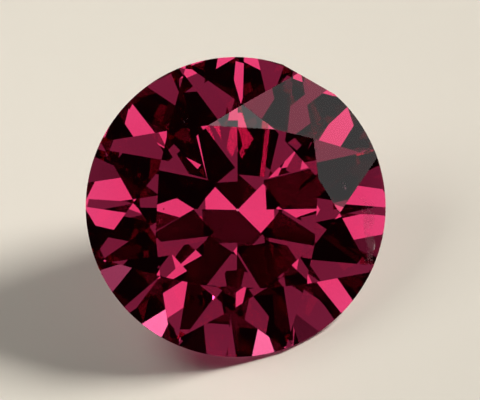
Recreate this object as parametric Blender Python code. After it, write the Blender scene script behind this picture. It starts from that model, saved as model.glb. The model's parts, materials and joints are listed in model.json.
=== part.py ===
"""A loose pink sapphire, cut by hand as a round brilliant and lying on one of its pavilion facets."""

from math import cos, radians, sin, tan

import bmesh
import bpy
from mathutils import Matrix, Vector

# Sizes in metres
GIRDLE_DIAMETER = 0.0080
GIRDLE_THICKNESS = 0.00016
CULET_WIDTH = 0.00006

# The cut: shares of the girdle's radius, and degrees from the girdle's plane
FOLDS = 8
TABLE_SHARE = 0.573
STAR_SHARE = 0.328
LOWER_HALF_SHARE = 0.705
CROWN_ANGLE = 34.15
PAVILION_ANGLE = 41.25

# Small faults of the hand cutting: the culet sits off the middle, the table leans, and the crown is turned
# against the pavilion. Directions are degrees from +X about the stone's axis.
CULET_OFFSET_SHARE = 0.035
CULET_OFFSET_DIRECTION = -70.0
TABLE_LEAN = 0.25
TABLE_LEAN_DIRECTION = 80.0
CROWN_TURN = -2.9

# A small natural flat that the cutter left on the girdle
NATURAL_DIRECTION = 38.0
NATURAL_DEPTH_SHARE = 0.02

# The rough's blank, and the finest step that the mesh keeps
GIRDLE_SIDES = 144
FINEST = 2e-7

COLOUR = (0.80, 0.03, 0.16, 1.0)
INDEX_OF_REFRACTION = 1.77
POLISH = 0.01

UP = Vector((0, 0, 1))
DOWN = Vector((0, 0, -1))
RADIUS = GIRDLE_DIAMETER / 2
HALF_GIRDLE = GIRDLE_THICKNESS / 2
STEP = 360 / FOLDS
HALF_STEP = STEP / 2
SHRINK = cos(radians(HALF_STEP))
FRONT = -90.0


def spot(direction, share, height):
    """A point at this direction about the axis, share of the girdle's radius, and height."""
    turn = radians(direction)
    return Vector((cos(turn) * RADIUS * share, sin(turn) * RADIUS * share, height))


def crown_height(share):
    """Height of a bezel facet's middle line at this share of the radius."""
    return HALF_GIRDLE + (1 - share) * RADIUS * tan(radians(CROWN_ANGLE))


def crown_tip(direction, share):
    """Where two neighbouring bezels meet, seen halfway between their directions."""
    return spot(direction, share, crown_height(share * SHRINK))


def culet_point():
    """The pavilion's point, before the culet is ground on it."""
    depth = HALF_GIRDLE + RADIUS * tan(radians(PAVILION_ANGLE))
    return spot(CULET_OFFSET_DIRECTION, CULET_OFFSET_SHARE, -depth)


def main_normal(direction):
    """Outward normal of the pavilion main that runs from the girdle's lower edge here to the culet."""
    rim = spot(direction, 1, -HALF_GIRDLE)
    along = spot(direction + 90, 1, 0)
    normal = along.cross(culet_point() - rim).normalized()
    return normal if normal.dot(rim) > 0 else -normal


def lower_half_tip(direction):
    """Where the lower halves end, on the edge between the mains half a step either side of this direction."""
    edge = main_normal(direction - HALF_STEP).cross(main_normal(direction + HALF_STEP))
    if edge.z < 0:
        edge = -edge
    run = (1 - LOWER_HALF_SHARE) * RADIUS
    return culet_point() + edge * (run / edge.xy.length)


def table_normal():
    lean = radians(TABLE_LEAN)
    turn = radians(TABLE_LEAN_DIRECTION)
    return Vector((sin(lean) * cos(turn), sin(lean) * sin(turn), cos(lean)))


def table_corner(direction):
    """Where the middle line of the bezel facet here meets the table."""
    centre = Vector((0, 0, crown_height(TABLE_SHARE)))
    outer = spot(direction, 1, crown_height(1))
    inner = spot(direction, 0, crown_height(0))
    line = inner - outer
    return outer + line * ((centre - outer).dot(table_normal()) / line.dot(table_normal()))


def grind(stone, point, normal):
    """Grind away all that lies beyond a plane, and close the new facet."""
    shape = stone.verts[:] + stone.edges[:] + stone.faces[:]
    cut = bmesh.ops.bisect_plane(stone, geom=shape, dist=FINEST, plane_co=point, plane_no=normal,
                                 clear_outer=True)
    rim = [item for item in cut["geom_cut"] if isinstance(item, bmesh.types.BMEdge)]
    rim = [edge for edge in rim if edge.is_boundary]
    if rim:
        bmesh.ops.contextual_create(stone, geom=rim)


def grind_through(stone, first, second, third):
    """Grind the facet that holds three points, on the side away from the middle of the stone."""
    normal = (second - first).cross(third - first).normalized()
    if normal.dot(first) < 0:
        normal = -normal
    grind(stone, first, normal)


def facet_directions(turn=0.0):
    """Directions of the eight main facets. Unturned, the first faces -Y, and the stone lies on that one."""
    return [FRONT + turn + STEP * fold for fold in range(FOLDS)]


def make_blank():
    """The girdled blank: a plain cylinder a little taller than the finished stone."""
    stone = bmesh.new()
    top = crown_height(0)
    bottom = culet_point().z
    place = Matrix.Translation((0, 0, (top + bottom) / 2))
    bmesh.ops.create_cone(stone, cap_ends=True, segments=GIRDLE_SIDES, radius1=RADIUS, radius2=RADIUS,
                          depth=top - bottom, matrix=place)
    return stone


def cut_pavilion(stone):
    """Eight mains, then the sixteen lower halves, then the culet."""
    for direction in facet_directions():
        grind(stone, spot(direction, 1, -HALF_GIRDLE), main_normal(direction))
    for direction in facet_directions():
        for side in (-HALF_STEP, HALF_STEP):
            rim = spot(direction, 1, -HALF_GIRDLE)
            next_rim = spot(direction + side, 1, -HALF_GIRDLE)
            grind_through(stone, rim, next_rim, lower_half_tip(direction + side))
    rise = CULET_WIDTH / 2 * tan(radians(PAVILION_ANGLE))
    grind(stone, culet_point() + UP * rise, DOWN)


def cut_crown(stone):
    """Table, eight bezels, eight stars and sixteen upper halves."""
    angle = radians(CROWN_ANGLE)
    directions = facet_directions(CROWN_TURN)
    table_edge = TABLE_SHARE * SHRINK
    star_reach = table_edge + STAR_SHARE * (1 - table_edge)
    grind(stone, Vector((0, 0, crown_height(TABLE_SHARE))), table_normal())
    for direction in directions:
        outward = spot(direction, 1, 0).normalized()
        grind(stone, spot(direction, 1, HALF_GIRDLE), outward * sin(angle) + UP * cos(angle))
    for direction in directions:
        star_tip = crown_tip(direction + HALF_STEP, star_reach)
        grind_through(stone, table_corner(direction), table_corner(direction + STEP), star_tip)
        for side in (-HALF_STEP, HALF_STEP):
            rim = spot(direction, 1, HALF_GIRDLE)
            next_rim = spot(direction + side, 1, HALF_GIRDLE)
            grind_through(stone, rim, next_rim, crown_tip(direction + side, star_reach))


def leave_natural(stone):
    """The narrow flat on the girdle where the cutter stopped short of a full round."""
    outward = spot(NATURAL_DIRECTION, 1, 0).normalized()
    grind(stone, outward * RADIUS * (1 - NATURAL_DEPTH_SHARE), outward)


def clean(stone):
    """Join points that fell together, and point every facet outwards."""
    bmesh.ops.remove_doubles(stone, verts=stone.verts[:], dist=FINEST * 5)
    bmesh.ops.dissolve_degenerate(stone, edges=stone.edges[:], dist=FINEST * 5)
    bmesh.ops.recalc_face_normals(stone, faces=stone.faces[:])


def make_material():
    """Clear pink corundum."""
    material = bpy.data.materials.new("sapphire")
    material.use_nodes = True
    shader = material.node_tree.nodes["Principled BSDF"]
    shader.inputs["Base Color"].default_value = COLOUR
    shader.inputs["Metallic"].default_value = 0
    shader.inputs["Roughness"].default_value = POLISH
    shader.inputs["IOR"].default_value = INDEX_OF_REFRACTION
    shader.inputs["Transmission Weight"].default_value = 1
    return material


def lay_down(stone_object):
    """Lay the stone on the main that faces -Y, with the middle of its box over the origin."""
    lean = main_normal(FRONT).rotation_difference(DOWN)
    corners = [lean @ vertex.co for vertex in stone_object.data.vertices]
    low = [min(corner[axis] for corner in corners) for axis in range(3)]
    high = [max(corner[axis] for corner in corners) for axis in range(3)]
    stone_object.rotation_euler = lean.to_euler()
    stone_object.location = (-(low[0] + high[0]) / 2, -(low[1] + high[1]) / 2, -low[2])


def make_sapphire():
    """The one finished stone."""
    stone = make_blank()
    cut_pavilion(stone)
    cut_crown(stone)
    leave_natural(stone)
    clean(stone)
    mesh = bpy.data.meshes.new("sapphire")
    stone.to_mesh(mesh)
    stone.free()
    mesh.materials.append(make_material())
    stone_object = bpy.data.objects.new("sapphire", mesh)
    bpy.context.scene.collection.objects.link(stone_object)
    lay_down(stone_object)


for old in list(bpy.data.objects):
    bpy.data.objects.remove(old)
make_sapphire()
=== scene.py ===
"""Looks for a loose pink sapphire: clear absorbing body, polished facets, frosted girdle, fine inclusions."""

import json
from math import cos, pi, radians, sin, tan

import bpy
import numpy
from mathutils import Matrix, Vector


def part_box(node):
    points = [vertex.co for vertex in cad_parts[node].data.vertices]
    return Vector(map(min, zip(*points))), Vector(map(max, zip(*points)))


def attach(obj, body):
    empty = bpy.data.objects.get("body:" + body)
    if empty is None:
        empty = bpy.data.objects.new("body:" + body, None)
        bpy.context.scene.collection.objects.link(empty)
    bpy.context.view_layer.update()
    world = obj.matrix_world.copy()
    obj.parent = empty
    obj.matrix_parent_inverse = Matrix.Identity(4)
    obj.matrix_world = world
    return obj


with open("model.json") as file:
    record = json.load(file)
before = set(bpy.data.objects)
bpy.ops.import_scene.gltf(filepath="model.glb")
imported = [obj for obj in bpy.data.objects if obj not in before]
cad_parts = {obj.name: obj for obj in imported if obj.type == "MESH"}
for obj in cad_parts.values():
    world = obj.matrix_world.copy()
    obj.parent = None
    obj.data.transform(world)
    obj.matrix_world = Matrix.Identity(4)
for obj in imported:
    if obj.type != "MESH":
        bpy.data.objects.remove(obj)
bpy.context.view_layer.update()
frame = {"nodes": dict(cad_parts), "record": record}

# The stone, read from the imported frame
STONE = frame["nodes"]["sapphire"]
MOUNTS = {mount["name"]: mount for mount in frame["record"]["mounts"]}
TABLE_CENTRE = Vector(MOUNTS["table"]["pos_m"])
TABLE_AXIS = Vector(MOUNTS["table"]["axis"]).normalized()
STONE_LOW, STONE_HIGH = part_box("sapphire")
GIRDLE_DIAMETER = STONE_HIGH.x - STONE_LOW.x
RADIUS = GIRDLE_DIAMETER / 2

# Sapphire: refractive index, what each millimetre of it takes from red, green and blue light, and the faint
# tint of its growth zones
INDEX_OF_REFRACTION = 1.77
ABSORPTION_PER_MM = (0.03, 0.32, 0.19)
PER_METRE = 1000
CLEAR = (1, 1, 1, 1)
ZONE_TINT = (1, 0.93, 0.955, 1)

# The girdle is the only surface that stands square to the stone's plane, within this slope
GIRDLE_SLOPE = 1 / 12
GIRDLE_GRAIN_DEPTH = 0.00001

# The film of the healed fractures, where it is thin and where it is thick
FILM_INDEX = 1.5
THIN_FILM = (0.62, 0.50, 0.54, 1)
THICK_FILM = (0.92, 0.88, 0.88, 1)

# The photograph's view
PHOTO_WIDTH = 480
PHOTO_HEIGHT = 400
STONE_WIDTH_PX = 300
STONE_CENTRE_PX = (235.7, 207.0)
CAMERA_DISTANCE = 0.25
CAMERA_AZIMUTH = -1.95
CAMERA_ELEVATION = 48.95
CAMERA_ROLL = -20.8
SENSOR_MM = 36

# Studio light for the stone, all of it white. Directions are as seen from the stone: clock is the direction
# round the camera, in degrees anticlockwise from the right, and off the angle from the camera's line of sight.
# Each row is a ring of like boxes, evenly spaced: name, how many, clock of the first, off, width in degrees
# and glow.
WHITE = (1, 1, 1)
RINGS = (
    ("inner ring", 6, 0, 15, 10, 0.25),
    ("middle ring", 6, 30, 25, 12, 1.2),
    ("outer ring", 8, 0, 60, 14, 2.0),
)
# Single boxes: name, clock, off, width in degrees, glow
BOXES = (
    ("key box at the upper right", 40, 65, 45, 0.5),
    ("low window behind", 90, 105, 30, 8.0),
    ("spot at the upper left", 130, 50, 12, 12.0),
)
LAMP_DISTANCE = 0.3

# Lamps for the floor alone: name, clock, off, width in degrees, glow, colour, distance from the stone
FLOOR_LAMPS = (
    ("floor wash", 45, 60, 16, 60.0, (1, 0.96, 0.90), LAMP_DISTANCE),
    ("floor fill", 140, 65, 35, 3.5, (1, 0.97, 0.92), 0.03),
)
FLOOR_COLOUR = (0.80, 0.77, 0.70, 1)
FLOOR_REACH = 0.6
FLOOR_DEPTH = -0.00002
ROOM_COLOUR = (0.003, 0.002, 0.002, 1)
BOUNCES = 24

# Inclusions: where the middle lies in the stone (clock about its axis, share of the radius out, share up,
# clock of the long side), the sheet's width, length and curl, droplets per square millimetre, a droplet's
# radius and shape, and the seed
FLAKE = Vector((1.0, 1.6, 0.25))
NEEDLE = Vector((0.25, 3.0, 0.25))
INCLUSIONS = (
    ("girdle_veil", (-34, 0.885, 0.015, 68), 0.00030, 0.00160, 0.00050, 4200, 0.000008, FLAKE, 3),
    ("thin_veil", (-25, 0.83, 0.04, 74), 0.00020, 0.00085, 0.00036, 2200, 0.000007, FLAKE, 5),
    ("crown_feather", (-11, 0.71, 0.12, 60), 0.00012, 0.00020, 0.00006, 1500, 0.000013, FLAKE, 7),
    ("girdle_needles", (-22, 0.88, 0.05, 160), 0.00025, 0.00012, 0.00003, 260, 0.000012, NEEDLE, 9),
    ("far_feather", (99, 0.65, 0.16, 30), 0.00010, 0.00016, 0.00005, 900, 0.000011, NEEDLE, 11),
)
PER_SQUARE_MM = 1e6


def direction(azimuth, elevation):
    """Unit vector from the stone. Azimuth 0 is -Y, where the table leans to, and it grows towards +X."""
    turn, rise = radians(azimuth), radians(elevation)
    return Vector((sin(turn) * cos(rise), -cos(turn) * cos(rise), sin(rise)))


def look_at(place, target, roll=0.0):
    """Matrix of something at place that looks along its own -Z at target, its top upwards."""
    turn = (target - place).to_track_quat("-Z", "Y").to_matrix().to_4x4()
    return Matrix.Translation(place) @ turn @ Matrix.Rotation(radians(roll), 4, "Z")


def measure_girdle():
    """The middle of the girdle's plane, and the stone's own axis, from the rim's corners."""
    places = [vertex.co for vertex in STONE.data.vertices]
    rim = numpy.array([place for place in places
                       if (place - TABLE_CENTRE).cross(TABLE_AXIS).length > 0.985 * RADIUS])
    spread = numpy.linalg.svd(rim - rim.mean(axis=0), full_matrices=False)[2]
    axis = Vector(spread[2]).normalized()
    if axis.dot(TABLE_AXIS) < 0:
        axis = -axis
    low, high = rim.min(axis=0), rim.max(axis=0)
    return Vector((low + high) / 2), axis


MIDDLE, AXIS = measure_girdle()


def link(thing):
    bpy.context.scene.collection.objects.link(thing)
    return thing


def add_camera():
    """A long lens at the photograph's angle, framed so that the stone falls where it does there."""
    camera = link(bpy.data.objects.new("camera", bpy.data.cameras.new("camera")))
    frame_width = GIRDLE_DIAMETER * PHOTO_WIDTH / STONE_WIDTH_PX
    camera.data.sensor_width = SENSOR_MM
    camera.data.lens = SENSOR_MM * CAMERA_DISTANCE / frame_width
    camera.data.clip_start = 0.002
    camera.data.clip_end = 10
    camera.data.shift_x = (PHOTO_WIDTH / 2 - STONE_CENTRE_PX[0]) / PHOTO_WIDTH
    camera.data.shift_y = (STONE_CENTRE_PX[1] - PHOTO_HEIGHT / 2) / PHOTO_WIDTH
    place = MIDDLE + direction(CAMERA_AZIMUTH, CAMERA_ELEVATION) * CAMERA_DISTANCE
    camera.matrix_world = look_at(place, MIDDLE, CAMERA_ROLL)
    bpy.context.scene.camera = camera
    return camera


def add_softbox(name, camera, clock, off, wide, glow, colour, distance):
    """A round softbox that faces the stone."""
    around, away = radians(clock), radians(off)
    towards = Vector((cos(around) * sin(away), sin(around) * sin(away), cos(away)))
    towards = camera.matrix_world.to_3x3() @ towards
    lamp = bpy.data.lights.new(name, "AREA")
    lamp.shape = "DISK"
    lamp.size = 2 * distance * tan(radians(wide / 2))
    lamp.energy = glow * pi * pi * (lamp.size / 2) ** 2
    lamp.color = colour
    box = link(bpy.data.objects.new(name, lamp))
    box.matrix_world = look_at(MIDDLE + towards * distance, MIDDLE)
    return box


def light_stone(box):
    """A lamp for the stone alone: the floor isn't lit by it."""
    box.visible_diffuse = False


def light_floor(box):
    """A lamp for the floor alone: the stone neither mirrors it nor passes it on."""
    box.visible_glossy = False
    box.visible_transmission = False


def add_studio(camera):
    """Rings and single boxes for the stone, and two lamps for the floor alone."""
    for name, count, first, off, wide, glow in RINGS:
        for number in range(count):
            clock = first + number * 360 / count
            light_stone(add_softbox(name, camera, clock, off, wide, glow, WHITE, LAMP_DISTANCE))
    for name, clock, off, wide, glow in BOXES:
        light_stone(add_softbox(name, camera, clock, off, wide, glow, WHITE, LAMP_DISTANCE))
    for name, clock, off, wide, glow, colour, distance in FLOOR_LAMPS:
        light_floor(add_softbox(name, camera, clock, off, wide, glow, colour, distance))


def add_floor():
    """The plain pale floor."""
    mesh = bpy.data.meshes.new("floor")
    signs = ((-1, -1), (1, -1), (1, 1), (-1, 1))
    corners = [(x * FLOOR_REACH, y * FLOOR_REACH, FLOOR_DEPTH) for x, y in signs]
    mesh.from_pydata(corners, [], [(0, 1, 2, 3)])
    material = plain_material("floor", {
        "Base Color": FLOOR_COLOUR, "Roughness": 0.9, "Specular IOR Level": 0.1})[0]
    mesh.materials.append(material)
    floor = link(bpy.data.objects.new("floor", mesh))
    floor.visible_glossy = False


def set_room():
    """A nearly dark room, and how far light is followed through the stone."""
    scene = bpy.context.scene
    world = bpy.data.worlds.new("room")
    scene.world = world
    world.use_nodes = True
    world.node_tree.nodes["Background"].inputs["Color"].default_value = ROOM_COLOUR
    scene.view_settings.view_transform = "Standard"
    scene.cycles.max_bounces = BOUNCES
    scene.cycles.transmission_bounces = BOUNCES
    scene.cycles.glossy_bounces = BOUNCES


class Socket:
    """A node's output that takes part in sums."""

    def __init__(self, tree, output):
        self.tree = tree
        self.output = output

    def math(self, operation, *values):
        return node(self.tree, "ShaderNodeMath", {"operation": operation}, dict(enumerate(values)))

    def __add__(self, other):
        return self.math("ADD", self, other)

    __radd__ = __add__

    def __sub__(self, other):
        return self.math("SUBTRACT", self, other)

    def __rsub__(self, other):
        return self.math("SUBTRACT", other, self)

    def __mul__(self, other):
        return self.math("MULTIPLY", self, other)

    __rmul__ = __mul__

    def __truediv__(self, other):
        return self.math("DIVIDE", self, other)

    def __abs__(self):
        return self.math("ABSOLUTE", self)

    def clamped(self):
        return node(self.tree, "ShaderNodeClamp", {}, {"Value": self})


def node(tree, kind, settings, values, output=0):
    """Adds one node: its settings first, then a value or a link for each named socket."""
    made = tree.nodes.new(kind)
    for name, setting in settings.items():
        setattr(made, name, setting)
    for name, value in values.items():
        if isinstance(value, Socket):
            tree.links.new(value.output, made.inputs[name])
        else:
            made.inputs[name].default_value = value
    return Socket(tree, made.outputs[output])


def plain_material(name, values):
    """A material with one shader, its plain values set on the shader's own sockets."""
    material = bpy.data.materials.new(name)
    material.use_nodes = True
    shader = material.node_tree.nodes["Principled BSDF"]
    for socket, value in values.items():
        shader.inputs[socket].default_value = value
    return material, material.node_tree, shader


def make_sapphire():
    """Clear pink corundum: polished facets, a frosted girdle, faint colour zoning and an absorbing body."""
    material, tree, shader = plain_material("polished sapphire", {
        "Metallic": 0, "IOR": INDEX_OF_REFRACTION, "Transmission Weight": 1})
    place = node(tree, "ShaderNodeTexCoord", {}, {}, "Object")
    facing = node(tree, "ShaderNodeNewGeometry", {}, {}, "True Normal")
    slope = node(tree, "ShaderNodeVectorMath", {"operation": "DOT_PRODUCT"}, {0: facing, 1: AXIS}, "Value")
    girdle = (1 - abs(slope) * (1 / GIRDLE_SLOPE)).clamped()
    grain = node(tree, "ShaderNodeTexNoise", {}, {"Vector": place, "Scale": 5200.0, "Detail": 3.0}, "Fac")
    zones = node(tree, "ShaderNodeTexNoise", {}, {"Vector": place, "Scale": 420.0, "Detail": 1.0}, "Fac")
    frost = girdle * (0.35 + grain * 0.35)
    tree.links.new(frost.output, shader.inputs["Roughness"])
    tint = node(tree, "ShaderNodeMix", {"data_type": "RGBA"}, {
        "Factor": zones.clamped(), "A": CLEAR, "B": ZONE_TINT}, 2)
    tree.links.new(tint.output, shader.inputs["Base Color"])
    ground = node(tree, "ShaderNodeBump", {}, {
        "Strength": 0.5, "Distance": GIRDLE_GRAIN_DEPTH, "Height": girdle * grain}, "Normal")
    tree.links.new(ground.output, shader.inputs["Normal"])
    most = max(ABSORPTION_PER_MM)
    spared = tuple(1 - share / most for share in ABSORPTION_PER_MM) + (1,)
    body = node(tree, "ShaderNodeVolumeAbsorption", {}, {
        "Density": most * PER_METRE, "Color": spared}, "Volume")
    tree.links.new(body.output, tree.nodes["Material Output"].inputs["Volume"])
    return material


def make_film():
    """The pale film of a healed fracture, whiter where its droplets lie close."""
    material, tree, shader = plain_material("healed fracture film", {"Metallic": 0, "IOR": FILM_INDEX})
    place = node(tree, "ShaderNodeTexCoord", {}, {}, "Object")
    cloud = node(tree, "ShaderNodeTexNoise", {}, {"Vector": place, "Scale": 2600.0, "Detail": 4.0}, "Fac")
    shade = node(tree, "ShaderNodeMix", {"data_type": "RGBA"}, {
        "Factor": ((cloud - 0.35) * 3).clamped(), "A": THIN_FILM, "B": THICK_FILM}, 2)
    tree.links.new(shade.output, shader.inputs["Base Color"])
    tree.links.new((0.3 + cloud * 0.4).output, shader.inputs["Roughness"])
    return material


def droplet_tree():
    """Droplets scattered over a gently curled sheet, thick in some places and thin in others."""
    tree = bpy.data.node_groups.new("scattered droplets", "GeometryNodeTree")
    face = tree.interface
    face.new_socket("Geometry", in_out="INPUT", socket_type="NodeSocketGeometry")
    for name, kind in (("Width", "Float"), ("Length", "Float"), ("Curl", "Float"), ("Per Area", "Float"),
                       ("Droplet Radius", "Float"), ("Droplet Shape", "Vector"), ("Seed", "Int"),
                       ("Film", "Material")):
        face.new_socket(name, in_out="INPUT", socket_type="NodeSocket" + kind)
    face.new_socket("Geometry", in_out="OUTPUT", socket_type="NodeSocketGeometry")
    given = tree.nodes.new("NodeGroupInput")

    def wanted(name):
        return Socket(tree, given.outputs[name])

    sheet = node(tree, "GeometryNodeMeshGrid", {}, {
        "Size X": wanted("Width"), "Size Y": wanted("Length"), "Vertices X": 10, "Vertices Y": 24}, "Mesh")
    place = node(tree, "GeometryNodeInputPosition", {}, {})
    sway = node(tree, "ShaderNodeTexNoise", {}, {"Vector": place, "Scale": 1400.0, "Detail": 1.0}, "Fac")
    lift = node(tree, "ShaderNodeCombineXYZ", {}, {
        "X": (sway - 0.5) * wanted("Curl"), "Z": (sway - 0.5) * wanted("Curl")})
    curled = node(tree, "GeometryNodeSetPosition", {}, {"Geometry": sheet, "Offset": lift})
    wisps = node(tree, "ShaderNodeTexNoise", {}, {"Vector": place, "Scale": 3200.0, "Detail": 2.0}, "Fac")
    thickness = ((wisps - 0.42) * 4).clamped() * wanted("Per Area")
    spots = node(tree, "GeometryNodeDistributePointsOnFaces", {}, {
        "Mesh": curled, "Density": thickness, "Seed": wanted("Seed")}, "Points")
    spread = tree.nodes[-1]
    size = node(tree, "FunctionNodeRandomValue", {"data_type": "FLOAT"}, {
        2: 0.35, 3: 1.0, "Seed": wanted("Seed")}, 1)
    shape = node(tree, "ShaderNodeVectorMath", {"operation": "SCALE"}, {
        0: wanted("Droplet Shape"), "Scale": size}, "Vector")
    drop = node(tree, "GeometryNodeMeshIcoSphere", {}, {
        "Radius": wanted("Droplet Radius"), "Subdivisions": 1}, "Mesh")
    turned = Socket(tree, spread.outputs["Rotation"])
    drops = node(tree, "GeometryNodeInstanceOnPoints", {}, {
        "Points": spots, "Instance": drop, "Rotation": turned, "Scale": shape})
    solid = node(tree, "GeometryNodeRealizeInstances", {}, {"Geometry": drops})
    done = node(tree, "GeometryNodeSetMaterial", {}, {"Geometry": solid, "Material": wanted("Film")})
    tree.links.new(done.output, tree.nodes.new("NodeGroupOutput").inputs["Geometry"])
    return tree


def stone_frame(clock, share, height, lie):
    """A place inside the stone: clock degrees about its axis from +X, a share of the radius out, a share up.
    Its own Y axis lies along the clock direction lie, and its Z axis along the stone's axis."""
    across = Vector((1, 0, 0))
    away = AXIS.cross(across)
    place = (across * cos(radians(clock)) + away * sin(radians(clock))) * share + AXIS * height
    long_way = across * cos(radians(lie)) + away * sin(radians(lie))
    turn = Matrix((long_way.cross(AXIS), long_way, AXIS)).transposed().to_4x4()
    return Matrix.Translation(MIDDLE + place * RADIUS) @ turn


def add_droplets(name, tree, place, sizes):
    """Runs the droplet tree once, keeps its mesh, and lays it in its place inside the stone."""
    holder = link(bpy.data.objects.new(name, bpy.data.meshes.new(name)))
    growth = holder.modifiers.new("droplets", "NODES")
    growth.node_group = tree
    for item in tree.interface.items_tree:
        if item.in_out == "INPUT" and item.name in sizes:
            growth[item.identifier] = sizes[item.name]
    evaluated = holder.evaluated_get(bpy.context.evaluated_depsgraph_get())
    mesh = bpy.data.meshes.new_from_object(evaluated)
    mesh.name = name
    mesh.transform(place)
    holder.modifiers.remove(growth)
    holder.data = mesh
    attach(holder, "root")


def add_inclusions():
    """Two veils near the girdle, two small feathers and a few needles, as in a natural sapphire."""
    tree = droplet_tree()
    film = make_film()
    for name, lie, width, length, curl, count, size, shape, seed in INCLUSIONS:
        add_droplets(name, tree, stone_frame(*lie), {
            "Width": width, "Length": length, "Curl": curl, "Per Area": count * PER_SQUARE_MM,
            "Droplet Radius": size, "Droplet Shape": shape, "Seed": seed, "Film": film})


STONE.data.materials.clear()
STONE.data.materials.append(make_sapphire())
add_inclusions()
camera = add_camera()
add_floor()
set_room()
add_studio(camera)
